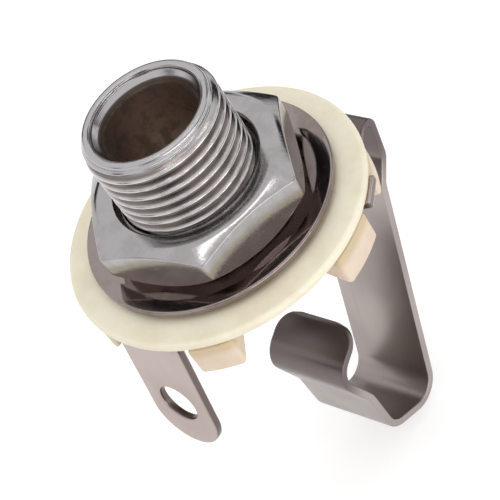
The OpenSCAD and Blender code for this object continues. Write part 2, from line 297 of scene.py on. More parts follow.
def cloudy_stains():
    """Blotches: layered noise, cut so that Cover of the surface is stained, with soft borders."""
    tree, given, put = new_group("cloudy_stains", {"Per mm": 0.5, "Cover": 0.4}, ["Mask"])
    noise = add_node(tree, "TexNoise", Vector=given["Place"], Scale=given["Per mm"],
                     Detail=7.0, Roughness=0.62)
    fall = math_node(tree, "MULTIPLY", given["Cover"], STAIN_SPAN)
    level = math_node(tree, "SUBTRACT", STAIN_TOP, fall)
    low = math_node(tree, "SUBTRACT", level, STAIN_BORDER)
    high = math_node(tree, "ADD", level, STAIN_BORDER)
    tree.links.new(remap(tree, noise.outputs["Fac"], low, high), put["Mask"])
    return tree


def hair_marks():
    """Fine lines: noise stretched along X of Place, so that it changes fast across and slowly along."""
    tree, given, put = new_group("hair_marks", {"Across per mm": 9.0, "Along per mm": 0.25},
                                 ["Height", "Mask"])
    scale = add_node(tree, "CombineXYZ", X=given["Along per mm"], Y=given["Across per mm"],
                     Z=given["Across per mm"])
    place = vector_node(tree, "MULTIPLY", given["Place"], scale.outputs[0])["Vector"]
    noise = add_node(tree, "TexNoise", Vector=place, Scale=1.0, Detail=4.0, Roughness=0.7)
    tree.links.new(noise.outputs["Fac"], put["Height"])
    tree.links.new(remap(tree, noise.outputs["Fac"], *HAIR_BAND), put["Mask"])
    return tree


def tool_rings():
    """Turning marks: noise of the distance from the axis and of the level, the same all the way round."""
    tree, given, put = new_group("tool_rings", {"Per mm": 6.0}, ["Height", "Radius"])
    parts = add_node(tree, "SeparateXYZ", Vector=given["Place"]).outputs
    flat = add_node(tree, "CombineXYZ", X=parts["X"], Y=parts["Y"])
    radius = vector_node(tree, "LENGTH", flat.outputs[0])["Value"]
    spot = add_node(tree, "CombineXYZ", X=radius, Y=parts["Z"])
    noise = add_node(tree, "TexNoise", Vector=spot.outputs[0], Scale=given["Per mm"],
                     Detail=5.0, Roughness=0.65)
    tree.links.new(noise.outputs["Fac"], put["Height"])
    tree.links.new(radius, put["Radius"])
    return tree


stains, hairs, rings = cloudy_stains(), hair_marks(), tool_rings()
print("node groups:", stains.name, hairs.name, rings.name)

# %% [markdown]
# ## A material to start from
# Each finish starts from a Principled shader and the object's own coordinates in millimetres.
# Since every piece sits at the origin, those coordinates are the socket's own frame, and a pattern
# stays put on the metal when the piece moves. Values that don't vary are set on the shader itself.

# %% Start of a material
def new_material(name, **settings):
    """A material, its node tree, its shader with plain settings, and the place in millimetres."""
    material = bpy.data.materials.new(name)
    material.use_nodes = True
    tree = material.node_tree
    shader = tree.nodes["Principled BSDF"]
    feed_all(tree, shader, settings)
    metres = add_node(tree, "TexCoord").outputs["Object"]
    print("finish:", name)
    return material, tree, shader, vector_node(tree, "MULTIPLY", metres, (1 / MM,) * 3)["Vector"]


def place_group(tree, group, **inputs):
    """Outputs of a shared group that is placed in a material."""
    made = add_node(tree, "Group")
    made.node_tree = group
    feed_all(tree, made, inputs)
    return made.outputs


def bumped(tree, shader, height, depth_mm):
    """Feeds a height into the shader's normal, as a relief of that depth in millimetres."""
    bump = add_node(tree, "Bump", Strength=1.0, Distance=depth_mm * MM, Height=height)
    tree.links.new(bump.outputs[0], shader.inputs["Normal"])


# %% [markdown]
# ## Bright nickel on turned brass
# The bush was turned on a lathe and nickel plated. Its plate is painted brighter on the thread than on
# the lip, a painted highlight for the glints of the crests, and painted shade darkens it down in the
# thread. The bore is dull brown with painted shade over it, darkest at the foot of the mouth's flare.
# The distance from the axis tells crest, groove, flare and bore apart, so no mask has to be drawn as an
# image. The lip is as slim as a groove, so the level keeps the groove's painted shade off it.

# %% Finish of the bush
LIP_FROM, LIP_FADE = 9.1, 0.3  # level from which the bush is a plain lip, and the fade below it, in mm
GROOVE_R = (4.5, 4.71)  # radii over which the painted shade of a groove gives way to the plate of a crest
BORE_R = (3.42, 3.48)  # radii over which the bore's brown and its painted shade give way to plate
FLARE_R = (3.26, 3.32)  # radii over which painted shade darkens the bore at the foot of the flare
CREST_PLATE_AND_HIGHLIGHT = (0.64, 0.62, 0.62, 1), (0.54, 0.515, 0.515, 1)  # clean and stained, painted brighter than the lip as a highlight for the glints of the crests
# the same plate, painted darker on the lip than on the thread
LIP_PLATE = (0.45, 0.435, 0.44, 1)
# painted shade down in the thread, and how strongly it shows
GROOVE_SHADE, GROOVE_SHADE_WEIGHT = (0.15, 0.12, 0.108, 1), 0.88
BORE_BROWN_AND_SHADE = (0.47, 0.37, 0.31, 1), (0.26, 0.195, 0.16, 1)  # dull brown of the bore, darkened by painted shade; clean and stained
# painted shade at the foot of the mouth's flare
FLARE_SHADE = (0.11, 0.085, 0.07, 1)


def bush_finish():
    """Nickel painted brighter on the thread than on the lip, with painted shade down in the thread and
    dull brown with painted shade in the bore.
    """
    material, tree, shader, place = new_material("bush_nickel", Metallic=1.0)
    marks = place_group(tree, rings, Place=place, Per_mm=7.0)
    blot = place_group(tree, stains, Place=place, Per_mm=0.9, Cover=0.45)["Mask"]
    threaded = remap(tree, level_of(tree, place), LIP_FROM - LIP_FADE, LIP_FROM, 1.0, 0.0)
    # painted shade deep in the thread, kept off the lip
    deep = remap(tree, marks["Radius"], *GROOVE_R, 1.0, 0.0)
    groove_shade = math_node(tree, "MULTIPLY", math_node(tree, "MULTIPLY", deep, threaded), GROOVE_SHADE_WEIGHT)
    # the plate, painted brighter on the thread as a highlight and darker on the lip
    plate = mixed(tree, threaded, LIP_PLATE, mixed(tree, blot, *CREST_PLATE_AND_HIGHLIGHT))
    plate_with_groove_shade = mixed(tree, groove_shade, plate, GROOVE_SHADE)
    # painted shade at the foot of the flare, over the bore's brown
    flare = remap(tree, marks["Radius"], *FLARE_R)
    bore_brown_and_shade = mixed(tree, flare, mixed(tree, blot, *BORE_BROWN_AND_SHADE), FLARE_SHADE)
    bore = remap(tree, marks["Radius"], *BORE_R, 1.0, 0.0)
    feed(tree, shader, "Base Color", mixed(tree, bore, plate_with_groove_shade, bore_brown_and_shade))
    haze = remap(tree, blot, 0.0, 1.0, 0.13, 0.24)
    feed(tree, shader, "Roughness", math_node(tree, "ADD", haze, math_node(tree, "MULTIPLY", bore, 0.3)))
    bumped(tree, shader, marks["Height"], depth_mm=0.012)
    return material


bush_nickel = bush_finish()

# %% [markdown]
# ## The nut's plate
# The nut was milled from hexagon bar. Its faces are bright but show fine marks from tumbling in
# the plating barrel, and its flats turn brownish towards their lower edge.

# %% Finish of the nut
NUT_PLATE = (0.41, 0.395, 0.4, 1), (0.365, 0.35, 0.352, 1)  # clean and stained
NUT_BROWN, NUT_BROWN_WEIGHT = (0.45, 0.38, 0.345, 1), 0.5
NUT_BROWN_LEVELS = (1.0, 2.8)  # levels in millimetres over which that brown fades out


def nut_finish():
    """Nickel with fine marks along X, faint stains and a brown tinge low on the flats."""
    material, tree, shader, place = new_material("nut_nickel", Metallic=1.0)
    blot = place_group(tree, stains, Place=place, Per_mm=0.55, Cover=0.5)["Mask"]
    marks = place_group(tree, hairs, Place=place, Across_per_mm=5.0, Along_per_mm=0.8)
    low = remap(tree, level_of(tree, place), *NUT_BROWN_LEVELS, 1.0, 0.0)
    tinge = math_node(tree, "MULTIPLY", low, NUT_BROWN_WEIGHT)
    feed(tree, shader, "Base Color", mixed(tree, tinge, mixed(tree, blot, *NUT_PLATE), NUT_BROWN))
    feed(tree, shader, "Roughness", remap(tree, marks["Mask"], 0.0, 1.0, 0.14, 0.25))
    bumped(tree, shader, marks["Height"], depth_mm=0.006)
    return material


nut_nickel = nut_finish()

# %% [markdown]
# ## The washer's mirror
# The dished washer is stamped from strip that was polished first, so it is nearly a mirror, though
# its plate has darkened. Only faint rings and a little haze keep it from looking like glass.

# %% Finish of the washers
WASHER_PLATE = (0.31, 0.26, 0.25, 1), (0.25, 0.205, 0.19, 1)  # clean and stained


def washer_finish():
    """Smooth, darkened nickel with a very low relief of rings and a thin haze."""
    material, tree, shader, place = new_material("washer_nickel", Metallic=1.0)
    marks = place_group(tree, rings, Place=place, Per_mm=4.0)
    blot = place_group(tree, stains, Place=place, Per_mm=0.4, Cover=0.4)["Mask"]
    feed(tree, shader, "Base Color", mixed(tree, blot, *WASHER_PLATE))
    feed(tree, shader, "Roughness", remap(tree, blot, 0.0, 1.0, 0.06, 0.13))
    bumped(tree, shader, marks["Height"], depth_mm=0.003)
    return material


washer_nickel = washer_finish()

# %% [markdown]
# ## Cream nylon and the moulded insulator
# The disc is cream nylon with a satin skin that lets a little light in, so it gets some subsurface
# scattering. The notched insulator behind it is a darker, pinker and duller moulding with a coarser
# grain, and brown painted shade lies in the seam under the disc. Both have faint clouds of colour,
# because neither is dyed evenly.

# %% Finishes of the insulators
DISC_CREAM = (0.91, 0.84, 0.67, 1), (0.85, 0.77, 0.6, 1)  # pale and deep
MOULDED_CREAM = (0.83, 0.69, 0.555, 1), (0.78, 0.63, 0.49, 1)  # pale and deep
# brown painted shade in the seam under the disc, and how strongly it shows
SEAM_SHADE, SEAM_SHADE_WEIGHT = (0.6, 0.45, 0.23, 1), 0.6
SEAM_SHADE_REACH = 0.8  # millimetres below a seam over which its painted shade fades out
SPECK_SHADE, SPECK_WEIGHT = 0.62, 0.5  # colour of a speck as a share of the deep cream, and its strength
SHEEN_SPREAD = 0.07  # how far the grain moves the roughness up and down


def plastic_finish(name, cream, roughness, grain_mm, speck_cover, seam):
    """A plastic with clouds of two creams, sparse specks, a fine grain and brown painted shade above a
    seam's level.
    """
    material, tree, shader, place = new_material(
        name, Subsurface_Weight=0.25, Subsurface_Scale=0.0012, Subsurface_Radius=(1.0, 0.7, 0.4))
    cloud = place_group(tree, stains, Place=place, Per_mm=0.22, Cover=0.5)["Mask"]
    specks = place_group(tree, stains, Place=place, Per_mm=2.6, Cover=speck_cover)["Mask"]
    speck = tuple(SPECK_SHADE * part for part in cream[1][:3]) + (1,)
    speckled = math_node(tree, "MULTIPLY", specks, SPECK_WEIGHT)
    dusty = mixed(tree, speckled, mixed(tree, cloud, *cream), speck)
    # brown painted shade at and just below the seam
    seam_shade = remap(tree, level_of(tree, place), seam - SEAM_SHADE_REACH, seam, 0.0, SEAM_SHADE_WEIGHT)
    feed(tree, shader, "Base Color", mixed(tree, seam_shade, dusty, SEAM_SHADE))
    grain = add_node(tree, "TexNoise", Vector=place, Scale=11.0, Detail=4.0, Roughness=0.6).outputs["Fac"]
    sheen = remap(tree, grain, 0.3, 0.7, roughness - SHEEN_SPREAD, roughness + SHEEN_SPREAD)
    feed(tree, shader, "Roughness", sheen)
    bumped(tree, shader, grain, grain_mm)
    return material


# The disc's seam lies well above its face, which leaves it free of the painted shade
disc_nylon = plastic_finish("disc_nylon", DISC_CREAM, roughness=0.42, grain_mm=0.01,
                            speck_cover=0.06, seam=disc_front + 1)
moulded_cream = plastic_finish("moulded_insulator", MOULDED_CREAM, roughness=0.58, grain_mm=0.025,
                               speck_cover=0.12, seam=disc_back - 0.5)

# %% [markdown]
# ## Dull nickel on sheet metal
# The terminals are stamped from sheet that was rolled, plated and folded. Rolling leaves faint lines
# along the strip, so this pattern has to follow the folds. Each sheet piece carries its flat place
# as an attribute, and the lines are drawn in that flat place. Its third part is the depth in the
# sheet, which tells the cut edges from the plated faces, so the solder terminal can be darker at its
# cut edges. The distance along the strip sets where the spring gets painted shade: at its root, next
# to the stack, and at its contact end.

# %% Finishes of the sheet metal
TERMINAL_PLATE = (0.46, 0.38, 0.35, 1), (0.385, 0.315, 0.29, 1)  # pale and deep
SPRING_PLATE = (0.42, 0.372, 0.356, 1), (0.33, 0.29, 0.275, 1)  # pale and deep
# colour of the painted shade at the spring's root and contact end, and of the darker cut edges
SHADE_AND_EDGE_DARK = (0.085, 0.066, 0.065, 1)
ROOT_SHADE_FADE = (9.0, 13.0)  # millimetres along a strip over which the painted shade at its root fades
CONTACT_SHADE_RISE = (41.0, 44.5)  # millimetres along the spring over which painted shade darkens its contact end
CONTACT_SHADE_WEIGHT = 0.75  # how strong that painted shade is
CUT_EDGE = (0.18, 0.28)  # millimetres from a sheet's middle over which the darker cut edge gives way to plate
CLOUD_WEIGHT, LINE_WEIGHT = 0.7, 0.25  # how much clouds and lines deepen the plate


# The last two numbers set how dark the cut edges are and how strong the painted shade at the root is.
def sheet_finish(name, plate, roughness, edge_darkening, root):
    """Nickel plated sheet: lines along it, soft clouds, painted shade at root and contact end, darker cut
    edges.
    """
    material, tree, shader, place = new_material(name, Metallic=1.0)
    attribute = add_node(tree, "Attribute")
    attribute.attribute_name = "along_sheet"
    flat = attribute.outputs["Vector"]
    lines = place_group(tree, hairs, Place=flat, Across_per_mm=4.0, Along_per_mm=0.12)
    cloud = add_node(tree, "TexNoise", Vector=place, Scale=0.16, Detail=2.0, Roughness=0.4)
    soft = remap(tree, cloud.outputs["Fac"], 0.3, 0.7)
    streak = math_node(tree, "MULTIPLY", lines["Mask"], LINE_WEIGHT)
    clouded = math_node(tree, "MULTIPLY", soft, CLOUD_WEIGHT)
    aged = math_node(tree, "ADD", clouded, streak, clamp=True)
    along, _, through = add_node(tree, "SeparateXYZ", Vector=flat).outputs
    # painted shade at the strip's root and at the spring's contact end
    end_shades = math_node(tree, "MAXIMUM", remap(tree, along, *ROOT_SHADE_FADE, root, 0.0),
                     remap(tree, along, *CONTACT_SHADE_RISE, 0.0, CONTACT_SHADE_WEIGHT))
    # darker towards the cut edges
    edge = remap(tree, math_node(tree, "ABSOLUTE", through), *CUT_EDGE, edge_darkening, 0.0)
    dark = math_node(tree, "MAXIMUM", end_shades, edge)
    feed(tree, shader, "Base Color", mixed(tree, dark, mixed(tree, aged, *plate), SHADE_AND_EDGE_DARK))
    feed(tree, shader, "Roughness", remap(tree, soft, 0.0, 1.0, roughness - 0.03, roughness + 0.04))
    bumped(tree, shader, lines["Height"], depth_mm=0.004)
    return material


# The spring gets painted shade at its root; the terminal gets darker cut edges instead.
terminal_nickel = sheet_finish("terminal_nickel", TERMINAL_PLATE, roughness=0.3, edge_darkening=0.8, root=0.0)
spring_nickel = sheet_finish("spring_nickel", SPRING_PLATE, roughness=0.34, edge_darkening=0.0, root=0.8)

# %% [markdown]
# ## The bush and its thread
# The bush is a turned piece, so it is a profile carried round the axis. Its thread isn't: the crest
# climbs one pitch in each turn. A screw modifier could sweep it, but then the thread would be a
# separate shell. Here the radius of the barrel's rows simply depends on the angle as well:
# with s = level / pitch - angle / turn, the crest lies where s is a whole number.
# Near the mouth the thread is cut off by a cone, as a lathe would chamfer it before threading.

# %% Threaded bush
thread_r, thread_pitch, thread_depth = 4.72, 0.794, 0.45
tail_r = 4.2  # outside of the tail behind the shoulder, which carries the stack
rim_t = 0.5  # thickness of the rim that is spun over at the back
lip_r, lip_round = 4.35, 0.3
mouth_r, mouth_depth = 3.75, 0.9  # the mouth, and how deep its flare goes down to the bore
lead_h, lead_edge = 0.45, 0.06  # height of the cone from the lip to the thread, and its softened edge
thread_start = 0.1  # gap between the shoulder and the first row of the thread
TURN_ROWS = 16  # rows of points in one pitch of the thread
CORNERS_TO_THREAD = 6  # corners of the profile that come before the thread

rim_r, bush_back, bush_front = round_size("threaded_bush")
lip_z = bush_front - lip_round


def thread_radius(level, angle):
    """Radius of the threaded barrel: a rounded triangle wave of s, under the cone of the lead."""
    s = np.mod(level / thread_pitch - angle / (2 * np.pi), 1)
    climb = 2 * np.abs(s - 0.5)
    rise = climb * climb * (3 - 2 * climb)
    cone = lip_r + (lip_z - level) * (thread_r - lip_r) / lead_h
    return np.minimum(thread_r - thread_depth * (1 - rise), cone)


def bush_profile():
    """Closed profile of the bush, row by row, with a radius for every angle."""
    plain = softened([
        [bore_r, bush_back, 0.08], [rim_r, bush_back, 0.24], [rim_r, bush_back + rim_t, 0.24],
        [tail_r, bush_back + rim_t, 0.03], [tail_r, disc_back, 0.03], [thread_r, disc_back, 0.03],
        [lip_r, lip_z, lead_edge], [lip_r, bush_front, lip_round], [mouth_r, bush_front, lip_round],
        [mouth_r, lip_z, 0.12], [bore_r, bush_front - mouth_depth, 0.25]])
    level = np.arange(disc_back + thread_start, lip_z - lead_edge, thread_pitch / TURN_ROWS)[:, None]
    thread = np.stack(np.broadcast_arrays(thread_radius(level, AROUND), level), axis=-1)
    back, front = np.split(np.repeat(plain[:, None], ROUND_STEPS, axis=1),
                           [CORNERS_TO_THREAD * CORNER_STEPS])
    return np.concatenate([back, thread, front])


bush = new_piece("bush_with_thread", [(turned(bush_profile()), True, None)],
                 bush_nickel, "threaded_bush")
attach(bush, "stack")

# %% [markdown]
# ## The hexagon nut
# A nut is a hexagon cut by a cone at each end, which is why its flats end in arcs. A boolean of a
# prism and a cone would give that too, but with sharp edges. Here the nut is a turned profile whose
# outer radius changes with the angle: a / (sum of cos^p)^(1/p) over the six flats is a hexagon
# whose corners get rounder as p gets smaller. The cone sets how far the wall reaches at each angle.

# %% Hexagon nut
nut_turn = np.radians(12)  # from a corner on +X
nut_half_flats, nut_face_in = 6.75, 0.4  # half the width across flats, and the step in to the round faces
front_slope, base_slope = np.tan(np.radians(30)), np.tan(np.radians(42))  # of the cones at its ends
nut_hole_r, nut_sink = thread_r + 0.05, 0.4  # the bore, and the depth of its countersinks
corner_power = 70  # p of the formula
SECTOR_STEPS, CROWDING = 56, 1.7  # angles in a sixth of a turn, and how much they crowd at its corner

_, nut_low, nut_high = round_size("hex_nut")


def nut_angles():
    """Angles round the nut, closer together at its six corners."""
    spread = np.linspace(-1, 1, SECTOR_STEPS, endpoint=False)
    sector = np.sign(spread) * np.abs(spread) ** CROWDING * np.pi / 6
    return (nut_turn + np.arange(6)[:, None] * np.pi / 3 + sector).ravel()


def hexagon_radius(angle):
    """Radius of a hexagon with rounded corners at an angle."""
    flats = nut_turn + np.pi / 6 + np.arange(6) * np.pi / 3
    facing = np.maximum(np.cos(angle[:, None] - flats), 0) ** corner_power
    return nut_half_flats / facing.sum(axis=1) ** (1 / corner_power)


def nut_surface():
    """The nut: for each angle a profile of eight corners, softened and carried round."""
    angle = nut_angles()
    wall = hexagon_radius(angle)
    face = nut_half_flats - nut_face_in
    step = wall - face
    corners = [(nut_hole_r, nut_low + nut_sink, 0.1), (nut_hole_r + nut_sink, nut_low, 0.06),
               (face, nut_low, 0.16), (wall, nut_low + base_slope * step, 0.07),
               (wall, nut_high - front_slope * step, 0.09), (face, nut_high, 0.32),
               (nut_hole_r + nut_sink, nut_high, 0.08), (nut_hole_r, nut_high - nut_sink, 0.1)]
    by_angle = [np.stack([np.broadcast_to(part, wall.shape) for part in corner], axis=-1)
                for corner in corners]
    return turned(softened(by_angle), angle)


nut = new_piece("chamfered_nut", [(nut_surface(), True, None)],
                nut_nickel, "hex_nut")
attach(nut, "nut")

# %% [markdown]
# ## The disc, the rear ring and the rear washer
# These three are plain turned rings. What tells them apart is how much their edges are rounded:
# a stamped washer has a small roll-over, the nylon disc a full soft rim.

# %% Turned rings
disc_hole_r, tail_hole_r = thread_r + 0.09, tail_r + 0.03


def turned_ring(name, node, hole_r, outer_edge, inner_edge, material, body):
    """A ring of a node's own outer size and levels, with its edges softened."""
    r, low, high = round_size(node)
    profile = rectangle(hole_r, r, low, high, outer_edge, inner_edge)
    piece = new_piece(name, [(turned(profile), True, None)], material, node)
    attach(piece, body)


turned_ring("cream_disc", "front_insulator", disc_hole_r, outer_edge=0.32, inner_edge=0.08,
            material=disc_nylon, body="stack")
turned_ring("rear_ring", "rear_insulator", tail_hole_r, outer_edge=0.2, inner_edge=0.05,
            material=moulded_cream, body="stack")
turned_ring("rear_plate", "rear_washer", tail_hole_r, outer_edge=0.1, inner_edge=0.04,
            material=washer_nickel, body="stack")

# %% [markdown]
# ## The dished washer
# The washer under the nut is dished: flat where the nut presses on it, with a rim that rises towards
# the nut. The rim mirrors other things than the flat middle does, so one half of it turns dark.
# A thick ring bent with a modifier would do, but a turned profile says the slope outright.

# %% Dished washer
washer_hole_r = thread_r + 0.2
washer_rim_w, washer_slope = 1.2, np.tan(np.radians(14))


def dish_profile():
    """Closed profile of the dished washer: flat up to its rim, which climbs at an even slope."""
    edge_r, low, _ = round_size("dished_washer")
    flat_r, rise, t = edge_r - washer_rim_w, washer_rim_w * washer_slope, nut_low - low
    return softened([
        [washer_hole_r, low, 0.08], [flat_r, low, 0.15], [edge_r, low + rise, 0.2],
        [edge_r, low + rise + t, 0.2], [flat_r, low + t, 0.12], [washer_hole_r, low + t, 0.08]])


washer = new_piece("mirror_washer", [(turned(dish_profile()), True, None)],
                   washer_nickel, "dished_washer")
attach(washer, "washer")

# %% [markdown]
# ## The notched insulator
# Behind the disc sits a moulding with blocks round its rim. The gaps between them let the solder lug
# and two ears of the sleeve terminal through. Its middle is turned, and each block is a rounded
# rectangle swept round the axis. A notch has parallel sides, so a block's end angle depends on the
# radius: a + asin(half width / r). The section shrinks along a quarter circle towards each end.

# %% Lobed moulding
sheet_t = 0.6  # thickness of the sheet that both terminals are folded from
lobe_r, lobe_in_r = disc_r - 0.15, 7.75  # outer and inner wall of the blocks
lobe_seam, lobe_h = 0.2, 2.6  # from the disc's back to the front and to the back of the blocks
web_r, web_t = 8.2, 1.3
boss_r, boss_h = 6.3, 1.3
collar_r = 4.83
lug_notch, ear_notch = 3.07, 1.52  # half widths of the notches
lug_notch_extra = 0.9  # extra room on the lug's +X side
lug_angle, ear_angle = -90, 25.5  # middles of the notches, in degrees from +X
block_from, block_to, lug_block_to = -5, 76, -50  # plain ends of the blocks, in degrees
block_edge, block_round = 0.3, 0.22  # rounding of a block's ends, and of its section
SWEEP_ROWS = 28

sleeve_back = disc_back - sheet_t
web_back = sleeve_back - web_t
tip_front = web_back - boss_h
tip_back = tip_front - sheet_t


def block_section(inset):
    """Rounded rectangle of a block's section, moved inwards by inset, as (radius, level)."""
    return rectangle(lobe_in_r + inset, lobe_r - inset, disc_back - lobe_h + inset,
                     disc_back - lobe_seam - inset, block_round, block_round)


def rim_block(first, last):
    """One block: its section swept between two angles, each given as (degrees, half width of a notch).

    Towards an end, as q falls from a quarter turn to 0, the section is inset by edge (1 - sin q).
    """
    curve = np.linspace(0, np.pi / 2, CORNER_STEPS)
    inset = block_edge * (1 - np.sin(curve))
    reach = block_edge * (1 - np.cos(curve))
    run = np.linspace(0, 1, SWEEP_ROWS)[1:-1]
    insets = np.concatenate([inset, 0 * run, inset[::-1]])
    sections = np.stack([block_section(value) for value in insets])
    r, z = sections[..., 0], sections[..., 1]
    start = np.radians(first[0]) + np.arcsin(first[1] / r)
    end = np.radians(last[0]) - np.arcsin(last[1] / r)
    share = np.concatenate([0 * curve, run, 1 + 0 * curve])[:, None]
    step = np.concatenate([reach, block_edge * (1 - 2 * run), -reach[::-1]])[:, None] / r
    angle = start + share * (end - start) + step
    body = np.stack([r * np.cos(angle), r * np.sin(angle), z], axis=-1)
    caps = [np.repeat(row.mean(axis=0)[None], len(row), axis=0)[None] for row in (body[0], body[-1])]
    return np.concatenate([caps[0], body, caps[1]])


def moulding():
    """All shells of the notched insulator: the turned middle and the blocks on both sides."""
    middle = softened([
        [tail_hole_r, tip_back, 0.05], [collar_r, tip_back, 0.05], [collar_r, tip_front, 0.03],
        [boss_r, tip_front, 0.15], [boss_r, web_back, 0.1], [web_r, web_back, 0.15],
        [web_r, sleeve_back, 0.05], [tail_hole_r, sleeve_back, 0.05]])
    both_sides = [rim_block((block_from, 0), (ear_angle, ear_notch)),
                  rim_block((ear_angle, ear_notch), (block_to, 0))]
    right = both_sides + [rim_block((lug_angle, lug_notch + lug_notch_extra), (lug_block_to, 0))]
    left = both_sides + [rim_block((lug_angle, lug_notch), (lug_block_to, 0))]
    blocks = right + [block * [-1, 1, 1] for block in left]
    return [(turned(middle), True, None)] + [(block, False, None) for block in blocks]


insulator = new_piece("notched_moulding", moulding(),
                      moulded_cream, "notched_insulator")
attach(insulator, "stack")

# %% [markdown]
# ## Folded sheet
# A stamped strip is a rounded rectangle carried along a bent line. The line runs straight between
# folds and follows an arc at each one. At distance s along it the strip's points are P(s) + x X + n N,
# where x runs across the width and n through the thickness. The width may change with s, which
# gives flared roots and rounded ends without any cutting.

# %% Bent lines and strips
SHEET_EDGE, EDGE_STEPS = 0.13, 5  # rounding of a sheet's edges, and the points on it
SHEET_STEP = 0.16  # millimetres between rows of points


def straight(start, end):
    """Evenly spaced points of a straight run."""
    count = max(2, int(np.linalg.norm(end - start) / SHEET_STEP) + 1)
    return start + np.linspace(0, 1, count)[:, None] * (end - start)


def bent_line(corners, radii):
    """Middle line of a folded sheet: straight runs joined by arcs, as points, normals and distances."""
    corners = np.asarray(corners, float)
    runs = unit(np.diff(corners, axis=0))
    pieces, here = [], corners[0]
    for corner, before, after, r in zip(corners[1:-1], runs[:-1], runs[1:], radii):
        turn = np.arctan2(before[0] * after[1] - before[1] * after[0], before @ after)
        setback = r * np.tan(abs(turn) / 2)
        start, side = corner - setback * before, np.sign(turn) * np.array([-before[1], before[0]])
        centre = start + r * side
        pieces.append(straight(here, start))
        swing = np.linspace(0, turn, max(4, int(abs(turn) * r / SHEET_STEP * 2)))[:, None]
        pieces.append(centre - r * (side * np.cos(swing) - np.sign(turn) * before * np.sin(swing)))
        here = corner + setback * after
    pieces.append(straight(here, corners[-1]))
    line = np.concatenate([np.concatenate([piece[:-1] for piece in pieces]), corners[-1:]])
    along = unit(np.gradient(line, axis=0))
    normals = np.stack([-along[:, 1], along[:, 0]], axis=-1)
    lengths = np.linalg.norm(np.diff(line, axis=0), axis=1)
    return line, normals, np.concatenate([[0], np.cumsum(lengths)])


def edge_loop():
    """Rounded rectangle round a strip: for each point its corner (-1 or 1 each way) and its arc."""
    quarter = np.linspace(0, np.pi / 2, EDGE_STEPS)
    turns = np.concatenate([quarter + k * np.pi / 2 for k in range(4)])
    corner = np.repeat([[1, 1], [-1, 1], [-1, -1], [1, -1]], EDGE_STEPS, axis=0)
    return corner, np.stack([np.cos(turns), np.sin(turns)], axis=-1)


def folded_strip(corners, radii, half_width):
    """A strip along a bent line in the YZ plane, with its width along X, as a grid and its flat places."""
    line, normals, s = bent_line(corners, radii)
    half = half_width(s, s[-1])
    shrink = SHEET_EDGE * (1 - np.cos(np.linspace(0, np.pi / 2, EDGE_STEPS)[1:]))
    rows = np.concatenate([np.zeros(EDGE_STEPS, int), np.arange(len(s)), np.full(EDGE_STEPS, len(s) - 1)])
    inset = np.concatenate([[SHEET_EDGE], shrink[::-1], 0 * s, shrink, [SHEET_EDGE]])[:, None]
    corner, arc = edge_loop()
    x = corner[:, 0] * (half[rows][:, None] - SHEET_EDGE) + arc[:, 0] * (SHEET_EDGE - inset)
    n = corner[:, 1] * (sheet_t / 2 - SHEET_EDGE) + arc[:, 1] * (SHEET_EDGE - inset)
    n[[0, -1]] = 0
    centre = line[rows][:, None] + n[..., None] * normals[rows][:, None]
    points = np.concatenate([x[..., None], centre], axis=-1)
    flat = np.stack([np.broadcast_to(s[rows][:, None], x.shape), x, n], axis=-1)
    return points, flat


def spun(points, degrees):
    """Points turned about the Z axis."""
    c, s = np.cos(np.radians(degrees)), np.sin(np.radians(degrees))
    return points @ np.array([[c, s, 0], [-s, c, 0], [0, 0, 1]])


print("sheet of", sheet_t, "mm, with", 4 * EDGE_STEPS, "points round it every", SHEET_STEP, "mm")

# %% [markdown]
# ## A pierced solder lug
# The lug has a hole for the wire. A hole in a strip of quads is awkward, unless the grid is built
# around it: from the hole's middle every point of the lug's outline can be seen, so each ray from the
# hole's rim to the outline becomes one row of points. The flat shape is then folded along the line.

# %% Solder lugs
lug_half = 2.7
lug_reach, lug_splay = 9.1, np.radians(10)  # from the axis to the fold, and the lean behind it
lug_lap = 1.0  # how far a lug runs in over its ring
fold_r = 0.6
hole_from_end = 3.8
RAYS, RAY_STEPS, RIM_STEPS = 160, 64, 7  # rays, points of a ray on each face, and points round each edge


def lug_outline(angle, hole_s, length):
    """Distance from the hole's middle to the outline: straight sides, a straight root, a round end."""
    ahead, aside = np.cos(angle), np.sin(angle)
    sides = lug_half / np.maximum(np.abs(aside), TINY)
    root = np.where(ahead < -TINY, hole_s / np.maximum(-ahead, TINY), np.inf)
    straight_part = np.minimum(sides, root)
    offset = hole_s - (length - lug_half)
    round_part = -offset * ahead + np.sqrt(np.maximum(lug_half ** 2 - (offset * aside) ** 2, 0))
    beyond = offset + straight_part * ahead > 0
    return np.where(beyond, round_part, straight_part)


